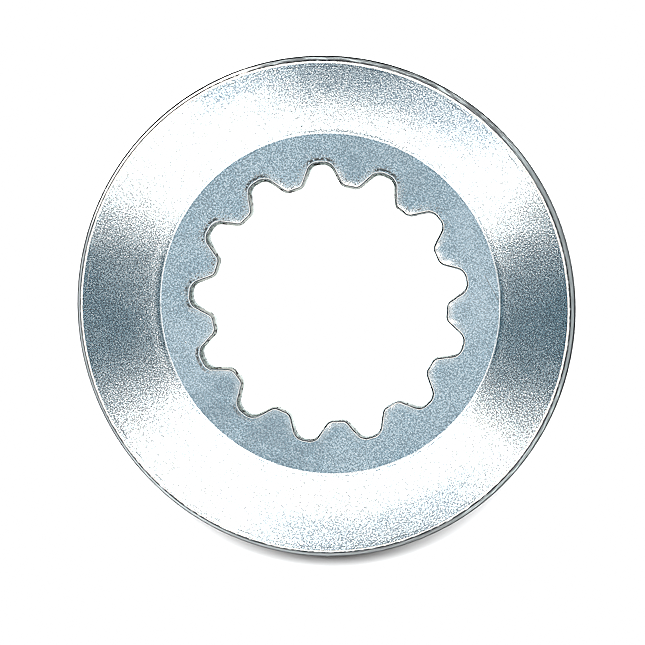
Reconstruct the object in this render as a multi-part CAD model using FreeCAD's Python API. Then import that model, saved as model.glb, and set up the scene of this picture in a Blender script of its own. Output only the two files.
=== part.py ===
import FreeCAD, Part
import math
import os

from FreeCAD import Vector

# A splined dished washer for a gearbox countershaft: one piece of zinc-plated
# sheet steel. The inner ring is flat and has a 13-tooth internal spline, and
# the outer flange is a cone that rises to the rim. The dish opens upward.
# Frame: millimetres, +Z up along the washer's axis. The flat back of the
# inner ring lies on z = 0 and the origin is at the centre of the bore.
# One spline notch is centred on +Y.

# --- driving dimensions (mm, degrees) ---------------------------------------
OUTSIDE_DIA = 47.8        # over all, at the rim's rounded back corner
SHEET_T = 1.2             # sheet thickness
FOLD_DIA = 32.7           # crease between flat ring and cone, on the hollow side
FLANGE_DEG = 30.0         # rise of the cone above the flat ring
FOLD_R_IN = 0.35          # crease radius on the hollow side
RIM_R_TOP = 0.20          # rounded corner of the rim on the hollow side
RIM_R_BACK = 0.15         # rounded corner of the rim on the back

TEETH = 13
CREST_DIA = 22.4          # bore over the tooth crests
ROOT_DIA = 26.55          # bore over the notch roots
NOTCH_HALF_W = 1.38       # half width of a notch at NOTCH_W_R
NOTCH_W_R = 12.10         # radius at which that width is measured
FLANK_DEG = 24.4          # slope of each flank against the notch's centre line
ROOT_R = 1.00             # fillet in the notch corners, nearly a full round
CREST_R = 0.95            # rounding of the tooth crests' corners
DIE_ROLL_R = 0.28         # rolled edge round the spline on the hollow side

NODE = "countershaft_washer"


# --- the body of revolution --------------------------------------------------
def rounded(points):
    """A closed wire in the r-z plane from corners (r, z, radius), each corner
    with a true tangent arc of its radius."""
    n = len(points)
    starts, ends, mids = [], [], []
    for i in range(n):
        p = points[i]
        a, b = points[i - 1], points[(i + 1) % n]
        rad = p[2]
        if rad <= 0:
            starts.append((p[0], p[1]))
            ends.append((p[0], p[1]))
            mids.append(None)
            continue
        u = (a[0] - p[0], a[1] - p[1])
        v = (b[0] - p[0], b[1] - p[1])
        lu, lv = math.hypot(*u), math.hypot(*v)
        u = (u[0] / lu, u[1] / lu)
        v = (v[0] / lv, v[1] / lv)
        half = math.acos(max(-1.0, min(1.0, u[0] * v[0] + u[1] * v[1]))) / 2
        run = rad / math.tan(half)
        starts.append((p[0] + u[0] * run, p[1] + u[1] * run))
        ends.append((p[0] + v[0] * run, p[1] + v[1] * run))
        w = (u[0] + v[0], u[1] + v[1])
        lw = math.hypot(*w)
        out = rad / math.sin(half) - rad
        mids.append((p[0] + w[0] / lw * out, p[1] + w[1] / lw * out))
    edges = []
    for i in range(n):
        j = (i + 1) % n
        if mids[i] is not None:
            edges.append(
                Part.Arc(
                    Vector(starts[i][0], 0, starts[i][1]),
                    Vector(mids[i][0], 0, mids[i][1]),
                    Vector(ends[i][0], 0, ends[i][1]),
                ).toShape()
            )
        edges.append(
            Part.LineSegment(
                Vector(ends[i][0], 0, ends[i][1]),
                Vector(starts[j][0], 0, starts[j][1]),
            ).toShape()
        )
    return Part.Wire(edges)


ang = math.radians(FLANGE_DEG)
# the sharp corner stands out a little past its own rounding
rim_back_r = OUTSIDE_DIA / 2 + RIM_R_BACK * (math.cos(ang) + math.sin(ang) - 1)
rim_top_r = rim_back_r - SHEET_T * math.sin(ang)
fold_r = FOLD_DIA / 2
rise = (rim_top_r - fold_r) * math.tan(ang)
rim_top_z = SHEET_T + rise
rim_back_z = rim_top_z - SHEET_T * math.cos(ang)
fold_back_r = fold_r + SHEET_T * math.tan(ang / 2)
FOLD_R_OUT = FOLD_R_IN + SHEET_T   # the sheet keeps its thickness round the fold
blank_r = CREST_DIA / 2 - 1.2      # inner edge of the blank, cut away by the spline

section = rounded(
    [
        (blank_r, 0.0, 0.0),
        (fold_back_r, 0.0, FOLD_R_OUT),
        (rim_back_r, rim_back_z, RIM_R_BACK),
        (rim_top_r, rim_top_z, RIM_R_TOP),
        (fold_r, SHEET_T, FOLD_R_IN),
        (blank_r, SHEET_T, 0.0),
    ]
)
body = Part.Face(section).revolve(Vector(0, 0, 0), Vector(0, 0, 1), 360)
if body.ShapeType != "Solid":
    body = Part.Solid(body)


# --- the internal spline -----------------------------------------------------
# In each notch's own frame, y runs out along its centre line and x across it.
# The flank is the straight line through (NOTCH_HALF_W, NOTCH_W_R); its corners
# with the root circle and the crest circle are rounded by tangent arcs.
crest_r = CREST_DIA / 2
root_r = ROOT_DIA / 2
s = math.radians(FLANK_DEG)
along = (-math.sin(s), math.cos(s))        # up the flank, towards the root
left = (-math.cos(s), -math.sin(s))        # into the open notch


def on_flank(k):
    return (NOTCH_HALF_W + along[0] * k, NOTCH_W_R + along[1] * k)


def flank_circle(side, dist, circle_r):
    """Centre of an arc at `dist` from the flank (side +1 in the notch, -1 in
    the tooth) and at `circle_r` from the axis: the one nearer the root circle
    for the notch and nearer the crest for the tooth."""
    ox = NOTCH_HALF_W + left[0] * dist * side
    oy = NOTCH_W_R + left[1] * dist * side
    b = ox * along[0] + oy * along[1]
    c = ox * ox + oy * oy - circle_r * circle_r
    k = -b + math.sqrt(b * b - c)
    return (ox + along[0] * k, oy + along[1] * k), k


root_c, root_k = flank_circle(+1, ROOT_R, root_r - ROOT_R)
crest_c, crest_k = flank_circle(-1, CREST_R, crest_r + CREST_R)
root_on_flank = on_flank(root_k)
crest_on_flank = on_flank(crest_k)
root_len = math.hypot(*root_c)
crest_len = math.hypot(*crest_c)
root_on_circle = (root_c[0] * root_r / root_len, root_c[1] * root_r / root_len)
crest_on_circle = (crest_c[0] * crest_r / crest_len, crest_c[1] * crest_r / crest_len)


def arc_mid(c, p, q, rad):
    mx, my = (p[0] + q[0]) / 2 - c[0], (p[1] + q[1]) / 2 - c[1]
    m = math.hypot(mx, my)
    return (c[0] + mx / m * rad, c[1] + my / m * rad)


root_mid = arc_mid(root_c, root_on_circle, root_on_flank, ROOT_R)
crest_mid = arc_mid(crest_c, crest_on_circle, crest_on_flank, CREST_R)
pitch = 2 * math.pi / TEETH
crest_a = math.atan2(crest_on_circle[0], crest_on_circle[1])


def placed(p, i, mirror=False):
    """A point of notch i in the washer's frame; notch 0 is centred on +Y."""
    x, y = (-p[0] if mirror else p[0]), p[1]
    a = i * pitch
    return Vector(x * math.cos(a) - y * math.sin(a), x * math.sin(a) + y * math.cos(a), -1.0)


edges = []
for i in range(TEETH):
    p = lambda q, m=False: placed(q, i, m)
    # from the crest before this notch (its +x side) over the root to the -x side
    edges.append(Part.Arc(p(crest_on_circle), p(crest_mid), p(crest_on_flank)).toShape())
    edges.append(Part.LineSegment(p(crest_on_flank), p(root_on_flank)).toShape())
    edges.append(Part.Arc(p(root_on_flank), p(root_mid), p(root_on_circle)).toShape())
    edges.append(Part.Arc(p(root_on_circle), p((0.0, root_r)), p(root_on_circle, True)).toShape())
    edges.append(Part.Arc(p(root_on_circle, True), p(root_mid, True), p(root_on_flank, True)).toShape())
    edges.append(Part.LineSegment(p(root_on_flank, True), p(crest_on_flank, True)).toShape())
    edges.append(Part.Arc(p(crest_on_flank, True), p(crest_mid, True), p(crest_on_circle, True)).toShape())
    half = pitch / 2
    crest_top = (-crest_r * math.sin(half), crest_r * math.cos(half))
    nxt = placed(crest_on_circle, i + 1)
    edges.append(Part.Arc(p(crest_on_circle, True), p(crest_top), nxt).toShape())
spline_wire = Part.Wire(Part.__sortEdges__(edges))
punch = Part.Face(spline_wire).extrude(Vector(0, 0, SHEET_T + 2.0))
washer = body.cut(punch)

# The punch rolled the sheet's edge over on the hollow side, all round the spline.
rolled = [
    e
    for e in washer.Edges
    if abs(e.BoundBox.ZMin - SHEET_T) < 1e-6
    and abs(e.BoundBox.ZMax - SHEET_T) < 1e-6
    and max(math.hypot(v.X, v.Y) for v in e.Vertexes) < root_r + 0.01
]
washer = washer.makeFillet(DIE_ROLL_R, rolled)
if washer.ShapeType != "Solid":
    washer = washer.Solids[0]

os.makedirs("parts", exist_ok=True)
washer.exportStep("parts/" + NODE + ".step")

box = washer.BoundBox
print("solids", len(washer.Solids), "valid", washer.isValid(), "faces", len(washer.Faces))
print("box mm", [round(v, 3) for v in (box.XMin, box.YMin, box.ZMin, box.XMax, box.YMax, box.ZMax)])
print("volume mm3", round(washer.Volume, 1), "mass g", round(washer.Volume * 7.85e-3, 2))
print("rim top r z", round(rim_top_r, 3), round(rim_top_z, 3), "rolled edges", len(rolled))
print("crest arc deg", round(2 * (180 / TEETH - math.degrees(crest_a)), 2))
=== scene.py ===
import math

import bpy
import numpy as np
from mathutils import Matrix, Vector


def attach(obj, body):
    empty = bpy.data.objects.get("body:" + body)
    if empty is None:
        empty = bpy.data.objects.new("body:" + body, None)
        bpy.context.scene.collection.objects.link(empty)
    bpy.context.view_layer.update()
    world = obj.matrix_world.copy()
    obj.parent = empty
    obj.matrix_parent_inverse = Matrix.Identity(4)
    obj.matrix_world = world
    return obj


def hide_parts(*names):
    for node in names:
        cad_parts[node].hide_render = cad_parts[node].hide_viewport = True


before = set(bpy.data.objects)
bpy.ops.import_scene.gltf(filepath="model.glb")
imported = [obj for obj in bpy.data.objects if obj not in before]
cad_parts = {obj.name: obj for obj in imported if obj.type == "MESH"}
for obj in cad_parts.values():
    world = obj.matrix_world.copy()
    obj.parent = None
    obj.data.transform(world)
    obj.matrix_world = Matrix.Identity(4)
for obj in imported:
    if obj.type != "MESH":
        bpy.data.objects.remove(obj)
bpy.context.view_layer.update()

NODE = "countershaft_washer"
MM = 0.001

# =============================================================================
# The washer's sizes in millimetres, the same as the CAD model's
# =============================================================================
OUTSIDE_DIA = 47.8
SHEET_T = 1.2
FOLD_DIA = 32.7
FLANGE = math.radians(30.0)
FOLD_R_IN = 0.35
RIM_R_TOP = 0.20
RIM_R_BACK = 0.15
TEETH = 13
CREST_R_BORE = 11.2
ROOT_R_BORE = 13.275
NOTCH_HALF_W = 1.38
NOTCH_W_R = 12.10
FLANK = math.radians(24.4)
ROOT_FILLET = 1.00
CREST_FILLET = 0.95
ROLL_R = 0.20             # radius of the rolled edge round the spline


def smooth(a, b, x):
    t = np.clip((np.asarray(x, float) - a) / (b - a), 0.0, 1.0)
    return t * t * (3 - 2 * t)


class Waves:
    """A smooth random height: a sum of plane waves in three directions of space,
    so it joins up with itself all round the washer."""

    def __init__(self, seed, count, short, long):
        rng = np.random.default_rng(seed)
        d = rng.normal(size=(count, 3))
        d /= np.linalg.norm(d, axis=1)[:, None]
        length = np.exp(rng.uniform(math.log(short), math.log(long), count))
        self.k = d * (2 * math.pi / length)[:, None]
        self.ph = rng.uniform(0, 2 * math.pi, count)
        self.amp = length / length.mean() / math.sqrt(count / 2)

    def __call__(self, p):
        out = np.zeros(p.shape[:-1])
        for k, ph, a in zip(self.k, self.ph, self.amp):
            out += a * np.sin(p @ k + ph)
        return out


# =============================================================================
# The bore's outline: one column of the mesh per point
# =============================================================================
def notch_outline():
    """Half of one notch, from its centre line to the middle of a tooth, as
    (angle, radius) with x across the notch and y out along it."""
    s = FLANK
    along = np.array([-math.sin(s), math.cos(s)])
    left = np.array([-math.cos(s), -math.sin(s)])
    base = np.array([NOTCH_HALF_W, NOTCH_W_R])

    def centre(side, dist, circle_r):
        o = base + left * dist * side
        b = o @ along
        c = o @ o - circle_r * circle_r
        k = -b + math.sqrt(b * b - c)
        return o + along * k, base + along * k

    root_c, root_f = centre(+1, ROOT_FILLET, ROOT_R_BORE - ROOT_FILLET)
    crest_c, crest_f = centre(-1, CREST_FILLET, CREST_R_BORE + CREST_FILLET)

    def arc(c, p, q, rad, n):
        a0 = math.atan2(p[1] - c[1], p[0] - c[0])
        a1 = math.atan2(q[1] - c[1], q[0] - c[0])
        while a1 - a0 > math.pi:
            a1 -= 2 * math.pi
        while a1 - a0 < -math.pi:
            a1 += 2 * math.pi
        t = np.linspace(a0, a1, n + 1)[:-1]
        return np.stack([c[0] + rad * np.cos(t), c[1] + rad * np.sin(t)], 1)

    root_q = root_c / np.linalg.norm(root_c) * ROOT_R_BORE
    crest_q = crest_c / np.linalg.norm(crest_c) * CREST_R_BORE
    half = math.pi / TEETH
    tip = np.array([math.sin(half), math.cos(half)]) * CREST_R_BORE
    o = np.zeros(2)
    t = np.linspace(0, 1, 6)[:-1, None]
    pts = np.concatenate(
        [
            arc(o, np.array([0.0, ROOT_R_BORE]), root_q, ROOT_R_BORE, 3),
            arc(root_c, root_q, root_f, ROOT_FILLET, 13),
            root_f + (crest_f - root_f) * t,
            arc(crest_c, crest_f, crest_q, CREST_FILLET, 13),
            arc(o, crest_q, tip, CREST_R_BORE, 4),
            tip[None, :],
        ]
    )
    return np.arctan2(pts[:, 0], pts[:, 1]), np.hypot(pts[:, 0], pts[:, 1])


half_a, half_r = notch_outline()
pitch = 2 * math.pi / TEETH
angles, radii = [], []
for i in range(TEETH):
    c = math.pi / 2 + i * pitch
    # from the tooth before this notch, over the notch, up to the next tooth
    angles += list(c - half_a[::-1][:-1]) + list(c + half_a[:-1])
    radii += list(half_r[::-1][:-1]) + list(half_r[:-1])
TH = np.array(angles)
RHO = np.array(radii)
NC = len(TH)

# the outline as a closed line, for the true distance from it
OX, OY = RHO * np.cos(TH), RHO * np.sin(TH)
A = np.stack([OX, OY], 1)
B = np.roll(A, -1, axis=0)
AB = B - A
AB2 = (AB * AB).sum(1)


def outline_distance(x, y, jc):
    """Distance from the bore's outline of points in column jc; only the
    outline's neighbouring stretch can be nearest."""
    out = np.empty(x.shape)
    reach = 60
    for n in range(len(x)):
        idx = (jc[n] + np.arange(-reach, reach + 1)) % NC
        p = np.array([x[n], y[n]])
        v = p - A[idx]
        t = np.clip((v * AB[idx]).sum(1) / AB2[idx], 0, 1)
        q = v - AB[idx] * t[:, None]
        out[n] = math.sqrt((q * q).sum(1).min())
    return out


# =============================================================================
# The section, row by row. Each row gives a point for every column.
# =============================================================================
rim_back_r = OUTSIDE_DIA / 2 + RIM_R_BACK * (math.cos(FLANGE) + math.sin(FLANGE) - 1)
rim_top_r = rim_back_r - SHEET_T * math.sin(FLANGE)
fold_r = FOLD_DIA / 2
rise = (rim_top_r - fold_r) * math.tan(FLANGE)
rim_top_z = SHEET_T + rise
rim_back_z = rim_top_z - SHEET_T * math.cos(FLANGE)
fold_back_r = fold_r + SHEET_T * math.tan(FLANGE / 2)
FOLD_R_OUT = FOLD_R_IN + SHEET_T
run_in = FOLD_R_IN * math.tan(FLANGE / 2)
run_out = FOLD_R_OUT * math.tan(FLANGE / 2)

ux, uz = math.cos(FLANGE), math.sin(FLANGE)       # out along the cone
nx, nz = -math.sin(FLANGE), math.cos(FLANGE)      # out of the hollow side

slow = Waves(11, 26, 5.0, 14.0)      # gentle unevenness of the pressed sheet
mid = Waves(12, 40, 1.6, 4.0)
fine = Waves(13, 60, 0.5, 1.2)
tiny = Waves(14, 70, 0.25, 0.6)

cosT, sinT = np.cos(TH), np.sin(TH)
R, Z, S, D, WALL, CUT, BACK = [], [], [], [], [], [], []


def ring(r):
    return np.stack([r * cosT, r * sinT, np.zeros(NC)], 1)


def row(r, z, s, d=9.0, wall=0.0, cut=0.0, back=0.0):
    one = np.ones(NC)
    R.append(np.asarray(r) * one)
    Z.append(np.asarray(z) * one)
    S.append(np.asarray(s) * one)
    D.append(np.asarray(d) * one)
    WALL.append(wall * one)
    CUT.append(cut * one)
    BACK.append(back * one)


# --- bore wall, from the back edge up ---------------------------------------
# The punch came from the hollow side: a smooth burnished land under the rolled
# edge, then a torn zone that opens by a few hundredths towards the back.
torn = 0.36 + 0.07 * mid(ring(12.0)) + 0.04 * fine(ring(12.0))
torn = np.clip(torn, 0.20, 0.52)
# the face sinks towards the punched edge, most and widest on the tooth crests
ROOTQ = smooth(CREST_R_BORE, ROOT_R_BORE, RHO)      # 0 on a crest, 1 in a root
roll_r = ROLL_R * (1 + 0.10 * mid(ring(12.5)) + 0.05 * fine(ring(12.5)))
sink_w = (1.00 - 0.58 * ROOTQ) * (1 + 0.12 * slow(ring(12.5)) + 0.06 * fine(ring(12.0)))
sink_t = np.tan(np.radians(17.5 - 3.0 * ROOTQ))


def face_z(d):
    u = np.clip(1 - d / roll_r, 0, 1)
    sink = 0.5 * sink_t * np.clip(sink_w - d, 0, None) ** 2 / sink_w
    return SHEET_T - sink - roll_r * (1 - np.sqrt(np.clip(1 - u * u, 0, 1)))


edge_z = face_z(np.zeros(NC))
for z in (0.045, 0.14, 0.25):
    t = np.clip((torn - z) / 0.4, 0, 1)
    bump = 0.008 * fine(ring(12.0) + np.array([0, 0, 3 * z])) + 0.006 * tiny(
        ring(12.0) + np.array([0, 0, 5 * z])
    )
    row(RHO + 0.03 * t + np.maximum(bump, -0.01), z, -(SHEET_T - z), -(SHEET_T - z), wall=1.0)
row(RHO + 0.012 + 0.006 * tiny(ring(12.0)), torn - 0.02, -(SHEET_T - torn), -(SHEET_T - torn), wall=1.0)
row(RHO, torn + 0.03, -(SHEET_T - torn - 0.03), -(SHEET_T - torn - 0.03), wall=1.0)
row(RHO, edge_z - 0.03, edge_z - 0.03 - SHEET_T, edge_z - 0.03 - SHEET_T, wall=1.0)

# --- rolled edge and the flat face ------------------------------------------
near = [0.0, 0.004, 0.014, 0.03, 0.052, 0.078, 0.107, 0.14, 0.175, 0.215, 0.26, 0.32, 0.39, 0.47, 0.57, 0.70, 0.86]
flat_end = fold_r - 0.62
cols = np.arange(NC)
for e in near:
    r = RHO + e * np.clip((flat_end - RHO) / (flat_end - CREST_R_BORE), 0.8, 1) if e else RHO
    if e:
        d = outline_distance(r * cosT, r * sinT, cols)
    else:
        d = np.zeros(NC)
    row(r, face_z(d), 0.0, d)
start = R[-1]
for f in (0.10, 0.22, 0.35, 0.49, 0.63, 0.76, 0.88, 1.0):
    r = start + (flat_end - start) * f
    d = outline_distance(r * cosT, r * sinT, cols)
    row(r, face_z(d), 0.0, d)

# --- fold: a tight crease with a faint bead and a faint line just outside it --
bead = 0.5 + 0.5 * np.clip(slow(ring(16.3)) + 0.5 * mid(ring(16.3)), -1, 1)
for x in (-0.40, -0.24, -0.13):
    row(fold_r + x, SHEET_T, fold_r + x)
n_arc = 6
for k in range(n_arc + 1):
    a = FLANGE * k / n_arc
    r = fold_r - run_in + FOLD_R_IN * math.sin(a)
    z = SHEET_T + FOLD_R_IN * (1 - math.cos(a))
    row(r, z, fold_r - 0.09 + 0.18 * k / n_arc)
arc_r = fold_r - run_in + FOLD_R_IN * math.sin(FLANGE)
arc_z = SHEET_T + FOLD_R_IN * (1 - math.cos(FLANGE))
cone_len = (rim_top_r - arc_r) / ux
rim_run = RIM_R_TOP                      # tangent length of the rim's 90 degree corner
for g, h in ((0.05, 0.35), (0.11, 1.0), (0.17, 0.55), (0.24, -0.35), (0.33, -0.15), (0.46, 0.0)):
    lift = 0.0042 * h * bead
    row(arc_r + ux * g + nx * lift, arc_z + uz * g + nz * lift, fold_r + 0.1 + g)

# --- cone, very slightly bowed: steeper at the crease, flatter at the rim -----
BOW = 0.10
for f in (0.11, 0.17, 0.24, 0.32, 0.40, 0.48, 0.56, 0.64, 0.72, 0.80, 0.87, 0.93, 0.965, 1.0):
    g = 0.0 + (cone_len - rim_run) * f
    h = BOW * 4 * f * (1 - f)
    row(arc_r + ux * g + nx * (-h) * -1, arc_z + uz * g + nz * h, fold_r + 0.1 + g)
cone_end_s = fold_r + 0.1 + cone_len - rim_run

# --- rim: rounded corner, then the cut face ----------------------------------
cx = rim_top_r - ux * RIM_R_TOP - nx * RIM_R_TOP
cz = rim_top_z - uz * RIM_R_TOP - nz * RIM_R_TOP
for k in range(1, 8):
    a = math.pi / 2 * k / 7
    r = cx + RIM_R_TOP * (nx * math.cos(a) + ux * math.sin(a))
    z = cz + RIM_R_TOP * (nz * math.cos(a) + uz * math.sin(a))
    row(r, z, 100.0 + RIM_R_TOP * a, cut=0.0 if k < 6 else 1.0)
dx, dz = -nx, -nz                        # down the cut face
cut_len = SHEET_T - RIM_R_TOP - RIM_R_BACK
land = np.clip(0.42 + 0.10 * mid(ring(23.0)) + 0.06 * fine(ring(23.0)), 0.2, 0.62)
base_s = 100.0 + RIM_R_TOP * math.pi / 2
px, pz = rim_top_r + dx * RIM_R_TOP, rim_top_z + dz * RIM_R_TOP
groove = 0.5 + 0.5 * np.clip(1.3 * fine(ring(23.5)) + 0.6 * mid(ring(23.5)), -1, 1)
for kind, q, depth in (
    ("abs", 0.035, 0.35),
    ("abs", 0.075, 1.0),
    ("abs", 0.12, 0.2),
    ("land", 0.45, 0.0),
    ("land", 0.95, 0.0),
    ("land", 1.06, 0.5),
    ("tear", 0.45, 0.75),
    ("tear", 1.0, 0.35),
):
    if kind == "abs":
        q = q * np.ones(NC)
        cut_in = 0.030 * groove * depth
    elif kind == "land":
        q = 0.12 + (land - 0.12) * q
        cut_in = 0.030 * depth * np.ones(NC)
    else:
        q = land * 1.06 + (cut_len - land * 1.06) * q
        cut_in = 0.030 * depth + 0.008 * fine(ring(23.5) + np.array([0, 0, 4.0 * depth])) * (1 if depth > 0.5 else 0.5)
        cut_in = np.maximum(cut_in, 0.0)
    row(px + dx * q - ux * cut_in, pz + dz * q - uz * cut_in, base_s + q, cut=1.0)

# --- back corner, cone back, outer bend, flat back ---------------------------
bx = rim_back_r - ux * RIM_R_BACK - dx * RIM_R_BACK
bz = rim_back_z - uz * RIM_R_BACK - dz * RIM_R_BACK
for k in range(1, 6):
    a = math.pi / 2 * k / 5
    r = bx + RIM_R_BACK * (ux * math.cos(a) + dx * math.sin(a))
    z = bz + RIM_R_BACK * (uz * math.cos(a) + dz * math.sin(a))
    row(r, z, 102.0 + RIM_R_BACK * a, cut=1.0 if k < 2 else 0.0, back=0.0 if k < 3 else 1.0)
ex, ez = rim_back_r - ux * RIM_R_BACK, rim_back_z - uz * RIM_R_BACK
oc_z = FOLD_R_OUT
f_end_r = fold_back_r - run_out + FOLD_R_OUT * math.sin(FLANGE)
f_end_z = FOLD_R_OUT * (1 - math.cos(FLANGE))
for f in (0.04, 0.20, 0.45, 0.72, 0.94):
    row(ex + (f_end_r - ex) * f, ez + (f_end_z - ez) * f, 104.0 + 7 * f, back=1.0)
for k in range(6, -1, -1):
    a = FLANGE * k / 6
    r = fold_back_r - run_out + FOLD_R_OUT * math.sin(a)
    z = FOLD_R_OUT * (1 - math.cos(a))
    row(r, z, 112.0 - a, back=1.0)
flat_back = fold_back_r - run_out
edge_back = RHO + 0.075
for f in (0.08, 0.5, 0.92):
    row(flat_back + (edge_back - flat_back) * f, 0.0, 115.0 + f, 9.0, back=1.0)
row(edge_back, 0.0, 118.0, 9.0, back=1.0)

R, Z, S, D = (np.array(v) for v in (R, Z, S, D))
WALL, CUT, BACK = (np.array(v) for v in (WALL, CUT, BACK))
NR = len(R)

# --- gentle unevenness of the whole sheet, front and back alike ---------------
X, Y = R * cosT[None, :], R * sinT[None, :]
P = np.stack([X, Y, np.zeros_like(X)], -1)
free = smooth(15.6, 17.6, R) * (1 - smooth(22.9, 23.6, R))
Z = Z + (0.013 * slow(P) + 0.0035 * mid(P)) * free * (1 - 0.35 * BACK)
ring_free = smooth(13.4, 14.4, R) * (1 - smooth(15.4, 16.2, R)) * (1 - BACK)
Z = Z - np.abs(0.0016 * mid(P + 7.0)) * ring_free * (S == 0.0)

# --- small nicks along the rim's inner edge line ------------------------------
rng = np.random.default_rng(5)
rim_zone = (S >= 100.0) & (S < 100.0 + 0.6)
for _ in range(34):
    a0 = rng.uniform(0, 2 * math.pi)
    w = rng.uniform(0.10, 0.34) / 23.4
    deep = rng.uniform(0.015, 0.045)
    da = (TH[None, :] - a0 + math.pi) % (2 * math.pi) - math.pi
    hit = np.exp(-((da / w) ** 2)) * rim_zone * np.exp(-(((S - 100.26) / 0.12) ** 2))
    R = R - deep * hit * 0.8
    Z = Z - deep * hit * 0.6

R = np.minimum(R, OUTSIDE_DIA / 2)
Z = np.clip(Z, 0.0, None)
X, Y = R * cosT[None, :], R * sinT[None, :]
co = np.stack([X, Y, Z], -1).reshape(-1, 3) * MM

# --- one closed grid: rows wrap round the section, columns round the axis -----
i, j = np.meshgrid(np.arange(NR), np.arange(NC), indexing="ij")
i2, j2 = (i + 1) % NR, (j + 1) % NC
quads = np.stack([i * NC + j, i2 * NC + j, i2 * NC + j2, i * NC + j2], -1).reshape(-1, 4)

mesh = bpy.data.meshes.new("splined_dished_washer")
mesh.vertices.add(len(co))
mesh.vertices.foreach_set("co", co.astype(np.float32).ravel())
mesh.loops.add(quads.size)
mesh.loops.foreach_set("vertex_index", quads.astype(np.int32).ravel())
mesh.polygons.add(len(quads))
mesh.polygons.foreach_set("loop_start", np.arange(0, quads.size, 4, dtype=np.int32))
mesh.polygons.foreach_set("use_smooth", np.ones(len(quads), bool))
mesh.update(calc_edges=True)
mesh.validate()
ROOT = np.ones((NR, 1)) * ROOTQ[None, :]
for name, values in (("edge_d", D), ("sect_s", S), ("root_q", ROOT), ("cut", CUT), ("back", BACK)):
    at = mesh.attributes.new(name, "FLOAT", "POINT")
    at.data.foreach_set("value", values.astype(np.float32).ravel())
washer = bpy.data.objects.new("splined_dished_washer", mesh)
bpy.context.scene.collection.objects.link(washer)
print("washer mesh: rows", NR, "columns", NC, "triangles", 2 * len(quads))


# =============================================================================
# Zinc plate
# =============================================================================
class Graph:
    """Short calls for a node tree, one per node."""

    def __init__(self, tree):
        self.t = tree
        self.t.nodes.clear()

    def node(self, kind, **props):
        n = self.t.nodes.new(kind)
        for k, v in props.items():
            setattr(n, k, v)
        return n

    def put(self, socket, value):
        if isinstance(value, bpy.types.NodeSocket):
            self.t.links.new(value, socket)
        elif value is not None:
            socket.default_value = value

    def math(self, op, a, b=None, c=None, clamp=False):
        n = self.node("ShaderNodeMath", operation=op, use_clamp=clamp)
        self.put(n.inputs[0], a)
        if b is not None:
            self.put(n.inputs[1], b)
        if c is not None:
            self.put(n.inputs[2], c)
        return n.outputs[0]

    def vmul(self, v, s):
        n = self.node("ShaderNodeVectorMath", operation="MULTIPLY")
        self.put(n.inputs[0], v)
        n.inputs[1].default_value = s
        return n.outputs[0]

    def attr(self, name):
        return self.node("ShaderNodeAttribute", attribute_name=name).outputs["Fac"]

    def noise(self, vec, scale, detail=2.0, rough=0.5, dist=0.0):
        n = self.node("ShaderNodeTexNoise", noise_dimensions="3D")
        self.put(n.inputs["Vector"], vec)
        n.inputs["Scale"].default_value = scale
        n.inputs["Detail"].default_value = detail
        n.inputs["Roughness"].default_value = rough
        n.inputs["Distortion"].default_value = dist
        return n.outputs["Fac"]

    def voronoi(self, vec, scale, feature="F1", randomness=1.0):
        n = self.node("ShaderNodeTexVoronoi", voronoi_dimensions="3D", feature=feature)
        self.put(n.inputs["Vector"], vec)
        n.inputs["Scale"].default_value = scale
        n.inputs["Randomness"].default_value = randomness
        return n.outputs["Distance"]

    def ramp(self, x, lo, hi, a=0.0, b=1.0, kind="SMOOTHSTEP"):
        n = self.node("ShaderNodeMapRange", interpolation_type=kind, clamp=True)
        self.put(n.inputs["Value"], x)
        n.inputs["From Min"].default_value = lo
        n.inputs["From Max"].default_value = hi
        n.inputs["To Min"].default_value = a
        n.inputs["To Max"].default_value = b
        return n.outputs["Result"]

    def mix(self, fac, a, b, blend="MIX"):
        n = self.node("ShaderNodeMix", data_type="RGBA", blend_type=blend)
        n.clamp_factor = True
        self.put(n.inputs[0], fac)
        self.put(n.inputs[6], a)
        self.put(n.inputs[7], b)
        return n.outputs[2]

    def fmix(self, fac, a, b):
        n = self.node("ShaderNodeMix", data_type="FLOAT")
        self.put(n.inputs[0], fac)
        self.put(n.inputs[2], a)
        self.put(n.inputs[3], b)
        return n.outputs[0]


def rgb(r, g, b):
    return (r, g, b, 1.0)


zinc = bpy.data.materials.new("zinc_plate")
zinc.use_nodes = True
g = Graph(zinc.node_tree)
out = g.node("ShaderNodeOutputMaterial")
bsdf = g.node("ShaderNodeBsdfPrincipled")
g.t.links.new(bsdf.outputs[0], out.inputs["Surface"])

pos = g.node("ShaderNodeTexCoord").outputs["Object"]
edge = g.attr("edge_d")
sect = g.attr("sect_s")
root_q = g.attr("root_q")
cut = g.attr("cut")
back = g.attr("back")

px = g.node("ShaderNodeSeparateXYZ")
g.put(px.inputs[0], pos)
phi = g.math("MULTIPLY", g.math("ARCTAN2", px.outputs[1], px.outputs[0]), 180 / math.pi)


def sector(centre, half, soft):
    """1 within half degrees of a direction round the axis, 0 beyond soft more."""
    off = g.math("ABSOLUTE", g.math("SUBTRACT", phi, centre))
    off = g.math("MINIMUM", off, g.math("SUBTRACT", 360.0, off))
    return g.ramp(off, half + soft, half)


def band(x, a, b, c, d):
    """1 between b and c, falling to 0 at a and d."""
    return g.math("MULTIPLY", g.ramp(x, a, b), g.ramp(x, d, c))


def both_of(a, b):
    return g.math("MULTIPLY", a, b)


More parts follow.
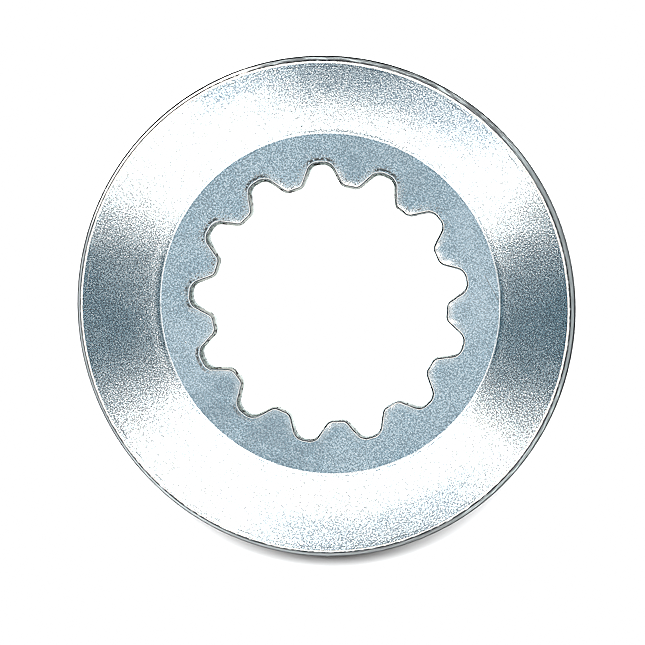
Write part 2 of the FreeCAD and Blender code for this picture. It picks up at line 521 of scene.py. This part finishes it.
def strip(x0, y0, x1, y1, half, wander=0.06):
    """1 on a fine scratch from (x0, y0) to (x1, y1), in millimetres."""
    lx, ly = x1 - x0, y1 - y0
    ln = math.hypot(lx, ly)
    lx, ly = lx / ln, ly / ln
    ox = g.math("SUBTRACT", g.math("MULTIPLY", px.outputs[0], 1000.0), x0)
    oy = g.math("SUBTRACT", g.math("MULTIPLY", px.outputs[1], 1000.0), y0)
    t = g.math("ADD", g.math("MULTIPLY", ox, lx), g.math("MULTIPLY", oy, ly))
    v = g.math("SUBTRACT", g.math("MULTIPLY", ox, -ly), g.math("MULTIPLY", oy, -lx))
    v = g.math("ADD", v, g.math("MULTIPLY", g.math("SUBTRACT", bend, 0.5), wander * 2))
    across = g.ramp(g.math("ABSOLUTE", v), half, half * 0.4)
    return both_of(across, band(t, -0.1, 0.15, ln - 0.15, ln + 0.1))


bend = g.noise(pos, 900.0, 2.0, 0.6)
wob = g.math("MULTIPLY", g.math("SUBTRACT", g.noise(pos, 1900.0, 2.0, 0.6), 0.5), 0.09)
edge_w = g.math("ADD", edge, wob)
in_root = g.ramp(root_q, 0.45, 0.85)
wider_edge_side = sector(142.0, 78.0, 30.0)          # the side where the painted wall band, the painted shade line and the painted highlight at the bore reach further out
edge_w = g.math("SUBTRACT", edge_w, both_of(wider_edge_side, g.math("MULTIPLY_ADD", in_root, 0.05, 0.12)))
wall = g.math("MULTIPLY", g.ramp(edge_w, 0.085, 0.06), g.math("SUBTRACT", 1.0, back, clamp=True))
uneven = g.noise(pos, 1150.0, 2.0, 0.6)
edge_v = g.math("SUBTRACT", edge_w, g.math("MULTIPLY_ADD", wider_edge_side, -0.03, 0.03))
# painted shade: a dark line where the rolled edge turns down into the wall
bore_lip_shade = both_of(both_of(g.ramp(edge_w, 0.075, 0.10), g.ramp(edge_v, 0.185, 0.150)), g.ramp(uneven, 0.30, 0.50, 0.60, 1.0))
# painted highlight: a pale line along the bore's rolled edge
bore_edge_highlight = both_of(band(edge_v, 0.165, 0.195, 0.225, 0.270), g.ramp(uneven, 0.75, 0.55, 0.45, 1.0))
# painted highlight on the crests beside the rolled edge
rolled_edge_highlight = both_of(band(edge_v, 0.16, 0.24, 0.40, 0.95), g.math("SUBTRACT", 1.0, in_root))
line_bore = band(edge_v, 0.28, 0.34, 0.48, 0.70)

# grain of the plated rolled sheet, 0.2 to 0.3 mm, and finer
grain_a = g.noise(pos, 7600.0, 0.0, 0.5)
grain_b = g.noise(pos, 3300.0, 0.0, 0.5)
grain_c = g.noise(g.vmul(pos, (1.0, 1.0, -1.0)), 8000.0, 0.0, 0.5)
patch = g.noise(pos, 230.0, 3.0, 0.6)
patch2 = g.noise(g.vmul(pos, (1.0, 1.35, 1.0)), 520.0, 2.0, 0.6)
pits = g.voronoi(pos, 1500.0)
pit_pick = g.noise(pos, 900.0, 2.0, 0.6)
pit = g.math("MULTIPLY", g.ramp(pits, 0.17, 0.05), g.ramp(pit_pick, 0.56, 0.66))

height = g.math(
    "ADD",
    g.math("MULTIPLY", grain_a, 1.0),
    g.math("MULTIPLY", grain_b, 0.15),
)
height = g.math("SUBTRACT", height, g.math("MULTIPLY", pit, 0.8))

# torn and cut faces: drawn-out streaks
wall_vec = g.vmul(pos, (1.0, 1.0, 0.10))
wall_streak = g.noise(wall_vec, 5200.0, 2.0, 0.6)
cut_vec = g.vmul(pos, (0.16, 0.16, 1.6))
cut_streak = g.noise(cut_vec, 5200.0, 2.0, 0.55)

side = g.math("MAXIMUM", wall, cut)
streak = g.fmix(cut, wall_streak, cut_streak)
height = g.fmix(side, height, g.math("MULTIPLY", streak, 1.2))

bump = g.node("ShaderNodeBump")
bump.inputs["Strength"].default_value = 1.0
bump.inputs["Distance"].default_value = 0.000009
g.put(bump.inputs["Height"], height)
g.put(bsdf.inputs["Normal"], bump.outputs[0])

# colour
zinc_a = rgb(0.50, 0.64, 0.71)
zinc_b = rgb(0.59, 0.72, 0.78)
col = g.mix(g.ramp(patch, 0.35, 0.65), zinc_a, zinc_b)
col = g.mix(g.ramp(patch2, 0.30, 0.70, 0.0, 0.35), col, rgb(0.60, 0.69, 0.73))
on_cone = g.ramp(sect, fold_r - 0.1, fold_r + 0.3)
col = g.mix(both_of(g.ramp(grain_c, 0.54, 0.34), g.math("MULTIPLY_ADD", on_cone, 0.27, 0.58)), col, rgb(0.245, 0.29, 0.32))
col = g.mix(both_of(g.ramp(grain_c, 0.58, 0.72), g.math("MULTIPLY_ADD", on_cone, 0.25, 0.60)), col, rgb(0.93, 0.96, 0.97))
col = g.mix(g.math("MULTIPLY", pit, 0.7), col, rgb(0.10, 0.14, 0.16))

# painted shade near the rim, densest on the +Y and -Y sides: a darker tone and dark dots
reach = g.math("MAXIMUM",
               both_of(sector(72.0, 18.0, 24.0), g.ramp(sect, fold_r + 1.6, fold_r + 5.6)),
               both_of(sector(-80.0, 18.0, 24.0), both_of(g.ramp(sect, fold_r + 3.0, fold_r + 5.8), 0.85)))
reach = g.math("MAXIMUM", reach, both_of(sector(79.0, 34.0, 12.0), g.ramp(sect, fold_r + 4.6, fold_r + 6.8)))
reach = both_of(reach, g.ramp(sect, 99.0, 90.0))
col = g.mix(g.math("MULTIPLY", reach, 0.42), col, rgb(0.22, 0.32, 0.39))
# dark dots of painted shade
rim_shade_dots = g.math("SUBTRACT", g.noise(pos, 7200.0, 0.0, 0.5), g.math("MULTIPLY", reach, 0.15))
rim_shade_dots = both_of(g.ramp(rim_shade_dots, 0.35, 0.25), g.ramp(sect, fold_r + 0.3, fold_r + 0.6))
rim_shade_dots = both_of(rim_shade_dots, g.math("MULTIPLY_ADD", reach, 0.26, 0.34))
col = g.mix(rim_shade_dots, col, g.mix(reach, rgb(0.13, 0.13, 0.13), rgb(0.055, 0.12, 0.18)))
on_ring = g.ramp(sect, fold_r + 0.1, fold_r)
# painted shade: the flat ring darker on the lower-left side and near +64 degrees
ring_shade = g.math("MAXIMUM", sector(-122.0, 20.0, 16.0), g.math("MULTIPLY", sector(64.0, 10.0, 16.0), 0.7))
ring_shade = both_of(both_of(ring_shade, on_ring), g.ramp(patch2, 0.25, 0.6))
col = g.mix(g.math("MULTIPLY", ring_shade, 0.30), col, rgb(0.20, 0.27, 0.31))
# painted light: the flat ring lighter near +8 and -161 degrees
ring_painted_light = g.math("MAXIMUM", sector(8.0, 18.0, 22.0), sector(-161.0, 9.0, 12.0))
ring_painted_light = both_of(both_of(ring_painted_light, on_ring), g.ramp(patch2, 0.65, 0.35))
col = g.mix(g.math("MULTIPLY", ring_painted_light, 0.28), col, rgb(0.86, 0.93, 0.97))

# crease: a thin painted highlight, and a broken dark hairline just outside it, painted shade in the faint groove there
crease_highlight = both_of(band(sect, fold_r - 0.07, fold_r - 0.02, fold_r + 0.05, fold_r + 0.10),
                 g.ramp(g.noise(pos, 800.0, 2.0, 0.6), 0.30, 0.45))
crease_shade_line = both_of(band(sect, fold_r + 0.20, fold_r + 0.235, fold_r + 0.27, fold_r + 0.31),
               g.ramp(g.noise(pos, 620.0, 3.0, 0.7), 0.46, 0.56))
col = g.mix(g.math("MULTIPLY", crease_shade_line, 0.75), col, rgb(0.10, 0.17, 0.22))

# beside the bore: a painted highlight on the crests where the edge is rolled, a dark speckled line outside
col = g.mix(g.math("MULTIPLY", rolled_edge_highlight, 0.35), col, rgb(0.93, 0.94, 0.92))
speck = g.ramp(g.noise(pos, 5200.0, 1.0, 0.6), 0.36, 0.48)
speck_where = g.ramp(g.noise(pos, 420.0, 2.0, 0.5), 0.30, 0.46)
# dark speckles in the roots on the upper-left side, and further out on the top side
root_dark_band = both_of(both_of(line_bore, in_root), sector(140.0, 78.0, 22.0))
dark_line = both_of(both_of(root_dark_band, speck), speck_where)
upper_dark_specks = both_of(both_of(band(edge_w, 0.20, 0.30, 0.55, 1.25), sector(105.0, 60.0, 30.0)),
               g.ramp(g.noise(pos, 5200.0, 1.0, 0.6), 0.58, 0.66))
dark_line = g.math("MAXIMUM", dark_line, g.math("MULTIPLY", upper_dark_specks, 0.9))
col = g.mix(g.math("MULTIPLY", dark_line, 0.92), col, rgb(0.030, 0.042, 0.048))

# fine scratches
scratch = strip(15.05, 1.95, 16.35, -0.75, 0.05)
scratch = g.math("MAXIMUM", scratch, strip(-18.12, 5.62, -17.41, 3.93, 0.055))
scratch = g.math("MAXIMUM", scratch, g.math("MULTIPLY", strip(-22.1, 5.9, -22.75, 2.7, 0.05), 0.5))
scratch = both_of(scratch, g.ramp(g.noise(pos, 1700.0, 2.0, 0.6), 0.34, 0.48))
col = g.mix(g.math("MULTIPLY", scratch, 0.8), col, rgb(0.04, 0.07, 0.09))

# the torn wall
wall_col = g.mix(g.ramp(wall_streak, 0.35, 0.65), rgb(0.07, 0.095, 0.095), rgb(0.20, 0.25, 0.245))
wall_col = g.mix(g.math("MULTIPLY", g.math("SUBTRACT", 1.0, in_root), 0.55), wall_col, rgb(0.36, 0.40, 0.39))
wall_spot = both_of(g.ramp(g.noise(pos, 1500.0, 2.0, 0.6), 0.56, 0.66), wall)
wall_col = g.mix(g.math("MULTIPLY", wall_spot, 0.85), wall_col, rgb(0.015, 0.015, 0.015))
col = g.mix(wall, col, wall_col)

# the cut rim: dull and streaked, with painted reflections round it: darker on several sides, bright near 130 degrees
cut_col = g.mix(g.ramp(cut_streak, 0.35, 0.65), rgb(0.13, 0.165, 0.175), rgb(0.33, 0.385, 0.395))
# painted dark reflections near +72 and -55 degrees
cut_dark_reflection = g.math("ADD", sector(72.0, 28.0, 12.0), g.math("MULTIPLY", sector(-55.0, 24.0, 16.0), 0.6))
# painted bright reflection near 130 degrees
cut_bright_reflection = sector(130.0, 20.0, 12.0)
deep = g.math("MULTIPLY", g.ramp(cut_streak, 0.66, 0.46), cut_dark_reflection)
# painted shade: the cut face darker on the -X side
cut_col = g.mix(g.math("MULTIPLY", sector(176.0, 30.0, 14.0), 0.75), cut_col, rgb(0.115, 0.14, 0.15))
# painted shade: the cut face darker near +X and -Y
cut_dim_reflection = g.math("MAXIMUM", sector(6.0, 22.0, 12.0), sector(-90.0, 22.0, 14.0))
cut_col = g.mix(g.math("MULTIPLY", cut_dim_reflection, 0.75), cut_col, rgb(0.07, 0.085, 0.09))
# painted shade deepens the streaks on the +Y side and near -55 degrees
cut_col = g.mix(g.math("MULTIPLY", deep, 0.80), cut_col, rgb(0.03, 0.034, 0.036))
cut_col = g.mix(g.math("MULTIPLY", cut_bright_reflection, 0.9), cut_col, rgb(0.90, 0.91, 0.90))
col = g.mix(cut, col, cut_col)

nick = g.noise(pos, 2300.0, 2.0, 0.6)
sect_w = g.math("ADD", sect, g.math("MULTIPLY", g.math("SUBTRACT", nick, 0.5), 0.12))
sect_w = g.math("ADD", sect_w, g.math("MULTIPLY", sector(-100.0, 30.0, 35.0), 0.07))
ruled = sector(137.0, 20.0, 14.0)         # the side where both painted shade lines at the rim run on unbroken
# painted shade: a dark line along the rim's inner edge, broken where the nick noise is low
rim_shade_line = g.math("MAXIMUM", g.ramp(nick, 0.34, 0.50, 0.30, 1.0), g.math("MULTIPLY", ruled, 0.9))
rim_shade_line = both_of(rim_shade_line, band(g.math("SUBTRACT", sect_w, g.math("MULTIPLY", ruled, 0.04)), 100.22, 100.26, 100.46, 100.56))
rim_shade_line = both_of(rim_shade_line, g.math("MULTIPLY_ADD", sector(50.0, 22.0, 10.0), -0.45, 1.0))
# painted highlight along the rim's rounded top corner
rim_light = both_of(band(sect_w, 100.04, 100.08, 100.19, 100.25), g.ramp(nick, 0.74, 0.60, 0.35, 1.0))
sect_b = g.math("SUBTRACT", sect, g.math("MULTIPLY", sector(-90.0, 50.0, 20.0), 0.05))
sect_b = g.math("ADD", sect_b, g.math("MULTIPLY", both_of(ruled, g.ramp(sect, 101.4, 101.2)), 0.10))
# painted shade: a dark line along the rim's back corner
back_shade_line = g.math("MAXIMUM", g.ramp(g.noise(pos, 700.0, 3.0, 0.6), 0.24, 0.42, 0.55, 1.0), ruled)
back_shade_line = both_of(back_shade_line, band(sect_b, 100.90, 101.04, 102.30, 102.40))
back_shade_line = both_of(back_shade_line, g.math("MULTIPLY_ADD", sector(34.0, 26.0, 12.0), -0.40, 1.0))
face_hair = both_of(band(sect, cone_end_s - 0.36, cone_end_s - 0.325, cone_end_s - 0.27, cone_end_s - 0.235),
                    g.ramp(g.noise(pos, 700.0, 3.0, 0.7), 0.46, 0.56))
face_hair = both_of(face_hair, g.math("MAXIMUM", sector(75.0, 40.0, 15.0), sector(-108.0, 45.0, 15.0)))
col = g.mix(g.math("MULTIPLY", face_hair, 0.85), col, rgb(0.08, 0.12, 0.15))

# painted shade: the rolled edge's colour darkened to tone down its reflection
col = g.mix(g.math("MULTIPLY", band(edge_v, 0.10, 0.15, 0.25, 0.32), 0.40), col, rgb(0.34, 0.39, 0.40))
# painted shade lines at the bore's lip and along the rim, near black
line = g.math("MAXIMUM", g.math("MAXIMUM", bore_lip_shade, rim_shade_line), back_shade_line)
line = g.math("MULTIPLY", line, 0.95)
# painted highlights on the bore's rolled edge, the crease and the rim's top corner
painted_highlights = g.math("MAXIMUM", g.math("MAXIMUM", g.math("MULTIPLY", bore_edge_highlight, 0.55), g.math("MULTIPLY", crease_highlight, 0.50)), g.math("MULTIPLY", rim_light, 0.80))
col = g.mix(painted_highlights, col, g.mix(crease_highlight, rgb(0.84, 0.84, 0.81), rgb(0.84, 0.92, 0.96)))
col = g.mix(line, col, rgb(0.017, 0.022, 0.025))
# painted shade lines, dark specks and scratches, none of them metal
shade_lines_and_marks = g.math("MAXIMUM", g.math("MAXIMUM", line, dark_line), scratch)
g.put(bsdf.inputs["Base Color"], col)

metal = g.fmix(wall, 1.0, 0.35)
metal = g.fmix(cut, metal, 0.6)
metal = g.fmix(painted_highlights, metal, 0.30)
metal = g.fmix(shade_lines_and_marks, metal, 0.0)
g.put(bsdf.inputs["Metallic"], metal)
g.put(bsdf.inputs["Specular IOR Level"], g.fmix(g.math("MAXIMUM", shade_lines_and_marks, wall), 0.5, 0.08))
rough = g.ramp(patch, 0.3, 0.7, 0.252, 0.264)
rough = g.fmix(side, rough, 0.42)
rough = g.fmix(pit, rough, 0.5)
rough = g.fmix(painted_highlights, rough, 0.45)
g.put(bsdf.inputs["Roughness"], rough)

washer.data.materials.append(zinc)
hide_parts(NODE)
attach(washer, "root")

# =============================================================================
# Floor, light and camera
# =============================================================================
floor_mesh = bpy.data.meshes.new("floor")
n = 24
edge_m = 3.0
line = np.sign(np.linspace(-1, 1, n)) * np.abs(np.linspace(-1, 1, n)) ** 2 * edge_m
verts = [(x, y, -0.00002) for y in line for x in line]
faces = [(a * n + b, a * n + b + 1, (a + 1) * n + b + 1, (a + 1) * n + b) for a in range(n - 1) for b in range(n - 1)]
floor_mesh.from_pydata(verts, [], faces)
floor = bpy.data.objects.new("floor", floor_mesh)
bpy.context.scene.collection.objects.link(floor)
fm = bpy.data.materials.new("floor_white")
fm.use_nodes = True
fb = fm.node_tree.nodes["Principled BSDF"]
fb.inputs["Base Color"].default_value = rgb(0.0985, 0.10, 0.101)
fb.inputs["Roughness"].default_value = 0.9
fb.inputs["Specular IOR Level"].default_value = 0.1
# the floor glows in a disc under the bore: painted light that washes out the shadow seen through the hole
fg = Graph.__new__(Graph)
fg.t = fm.node_tree
disc = fg.node("ShaderNodeVectorMath", operation="LENGTH")
fg.put(disc.inputs[0], fg.node("ShaderNodeTexCoord").outputs["Object"])
fb.inputs["Emission Color"].default_value = rgb(1.0, 1.0, 1.0)
fg.put(fb.inputs["Emission Strength"], fg.ramp(disc.outputs["Value"], 0.0148, 0.0145, 0.0, 0.90))
floor.data.materials.append(fm)

# The room's light, as a function of direction only: grey straight above, a
# bright ring of soft light round it, tall bright screens on the +Y and -Y
# sides and dark screens on the +X and -X sides.
ROLL = math.radians(3.71)                 # how far the washer is turned in view
world = bpy.data.worlds.new("studio")
bpy.context.scene.world = world
world.use_nodes = True
w = Graph(world.node_tree)
w_out = w.node("ShaderNodeOutputWorld")
w_bg = w.node("ShaderNodeBackground")
w.t.links.new(w_bg.outputs[0], w_out.inputs["Surface"])
rot = w.node("ShaderNodeVectorRotate", rotation_type="Z_AXIS")
w.put(rot.inputs["Vector"], w.node("ShaderNodeTexCoord").outputs["Generated"])
rot.inputs["Angle"].default_value = ROLL
sep = w.node("ShaderNodeSeparateXYZ")
w.put(sep.inputs[0], rot.outputs[0])
wx, wy, wz = sep.outputs
flatlen = w.math("SQRT", w.math("ADD", w.math("MULTIPLY", wx, wx), w.math("MULTIPLY", wy, wy)))
psi = w.math("MULTIPLY", w.math("ARCTAN2", flatlen, wz), 180 / math.pi)     # angle from straight up
azi = w.math("MULTIPLY", w.math("ARCTAN2", wy, wx), 180 / math.pi)          # -180..180, 0 = +X
from_x = w.math("ABSOLUTE", azi)                                             # 0 = +X, 180 = -X


def window(x, a, b, c, d):
    """1 between b and c, falling to 0 at a and d."""
    return w.math("MULTIPLY", w.ramp(x, a, b), w.ramp(x, d, c))


def around(centre, half, soft, turn=0.0):
    """1 within half degrees of an azimuth, falling to 0 over soft."""
    off = w.math("ABSOLUTE", w.math("SUBTRACT", w.math("ADD", azi, turn), centre))
    off = w.math("ABSOLUTE", w.math("MINIMUM", off, w.math("SUBTRACT", 360.0, off)))
    return w.ramp(off, half + soft, half)


zen = w.ramp(psi, 31.0, 25.0)
bright = w.ramp(psi, 25.0, 31.0)
low = w.ramp(psi, 86.0, 94.0)
plus_dark = w.math("MULTIPLY", around(-4.5, 27.0, 9.0), window(psi, 25.0, 31.0, 57.0, 72.0))
turned = w.math("MULTIPLY_ADD", psi, 0.36, -24.0)
minus_dark = w.math("MULTIPLY", around(181.8, 22.0, 3.0, turned), window(psi, 27.0, 33.0, 74.0, 88.0))
dim_top = w.math("MULTIPLY", around(-108.0, 12.0, 12.0), window(psi, 38.0, 44.0, 60.0, 67.0))
dim_bot = w.math("MULTIPLY", around(122.0, 14.0, 18.0), window(psi, 26.0, 31.0, 44.0, 51.0))

cool = w.math("MULTIPLY", zen, 0.66)
warm = w.math("MULTIPLY", bright, 2.6)
warm = w.fmix(low, warm, 1.2)
dark = w.math("MAXIMUM", plus_dark, minus_dark)
dim = w.math("MAXIMUM", dim_top, dim_bot)
shut = w.math("MAXIMUM", dark, dim)
warm = w.math("MULTIPLY", warm, w.math("SUBTRACT", 1.0, shut))
shade = w.math("MULTIPLY", w.math("MULTIPLY", shut, bright), 0.15)


def tint(value, colour):
    n = w.node("ShaderNodeVectorMath", operation="SCALE")
    n.inputs[0].default_value = colour
    w.put(n.inputs["Scale"], value)
    return n.outputs[0]


both = w.node("ShaderNodeVectorMath", operation="ADD")
w.put(both.inputs[0], tint(cool, (0.90, 1.04, 1.13)))
w.put(both.inputs[1], tint(warm, (1.16, 1.0, 0.92)))
three = w.node("ShaderNodeVectorMath", operation="ADD")
w.put(three.inputs[0], both.outputs[0])
w.put(three.inputs[1], tint(shade, (0.57, 1.22, 1.56)))
w.put(w_bg.inputs["Color"], three.outputs[0])
w_bg.inputs["Strength"].default_value = 1.0

# two key lights on the floor alone, high on the +Y side, one to the left and one
# to the right: either one washes the floor out to white, so only the short stretch
# at -Y that neither reaches is in shadow, and the plate gets no hot spot
lit = bpy.data.collections.new("floor_lit")
lit.objects.link(floor)
for name, dx in (("key_right", 0.62), ("key_left", -0.30)):
    sun = bpy.data.lights.new(name, "SUN")
    sun.energy = 39.0
    sun.angle = math.radians(27)
    key = bpy.data.objects.new(name, sun)
    d = Vector((dx, 0.435, 1.0)).normalized()
    key.rotation_mode = "QUATERNION"
    key.rotation_quaternion = d.to_track_quat("Z", "Y")
    key.location = d * 0.5
    key.light_linking.receiver_collection = lit
    bpy.context.scene.collection.objects.link(key)

cam_data = bpy.data.cameras.new("camera")
cam_data.lens = 300.0
cam_data.sensor_width = 36.0
cam_data.clip_start = 0.01
cam_data.clip_end = 10.0
cam = bpy.data.objects.new("camera", cam_data)
bpy.context.scene.collection.objects.link(cam)
aim = Vector((-0.00067, -0.00168, 0.002))
tx, ty = math.radians(8.6), math.radians(5.44)
back_dir = Vector((math.tan(tx), math.tan(ty), 1.0)).normalized()
fwd = -back_dir
right = fwd.cross(Vector((0, 1, 0))).normalized()
up = right.cross(fwd).normalized()
c, s = math.cos(ROLL), math.sin(ROLL)
right2 = right * c - up * s
up2 = right * s + up * c
m = Matrix((right2, up2, back_dir)).transposed()
cam.rotation_mode = "QUATERNION"
cam.rotation_quaternion = m.to_quaternion()
cam.location = aim + back_dir * 0.5128
bpy.context.scene.camera = cam

vs = bpy.context.scene.view_settings
vs.view_transform = "Standard"
vs.look = "None"
vs.exposure = 0.0
vs.gamma = 1.0

# the picture is finished with a mild sharpening, worked on display values
scene = bpy.context.scene
scene.use_nodes = True
k = Graph(scene.node_tree)
layers = k.node("CompositorNodeRLayers")
split = k.node("CompositorNodeSeparateColor")
k.put(split.inputs[0], layers.outputs["Image"])
joined = k.node("CompositorNodeCombineColor")
for n in range(3):
    top = k.node("CompositorNodeMath", operation="MINIMUM")
    k.put(top.inputs[0], split.outputs[n])
    top.inputs[1].default_value = 1.0
    k.put(joined.inputs[n], top.outputs[0])
shown = k.node("CompositorNodeGamma")
k.put(shown.inputs["Image"], joined.outputs[0])
shown.inputs["Gamma"].default_value = 1 / 2.2
crisp = k.node("CompositorNodeFilter", filter_type="SHARPEN_DIAMOND")
k.put(crisp.inputs["Image"], shown.outputs[0])
crisp.inputs["Fac"].default_value = 0.36
split2 = k.node("CompositorNodeSeparateColor")
k.put(split2.inputs[0], crisp.outputs[0])
joined2 = k.node("CompositorNodeCombineColor")
for n in range(3):
    low_end = k.node("CompositorNodeMath", operation="MAXIMUM")
    k.put(low_end.inputs[0], split2.outputs[n])
    low_end.inputs[1].default_value = 0.0
    k.put(joined2.inputs[n], low_end.outputs[0])
back_to_light = k.node("CompositorNodeGamma")
k.put(back_to_light.inputs["Image"], joined2.outputs[0])
back_to_light.inputs["Gamma"].default_value = 2.2
final = k.node("CompositorNodeComposite")
k.put(final.inputs["Image"], back_to_light.outputs[0])
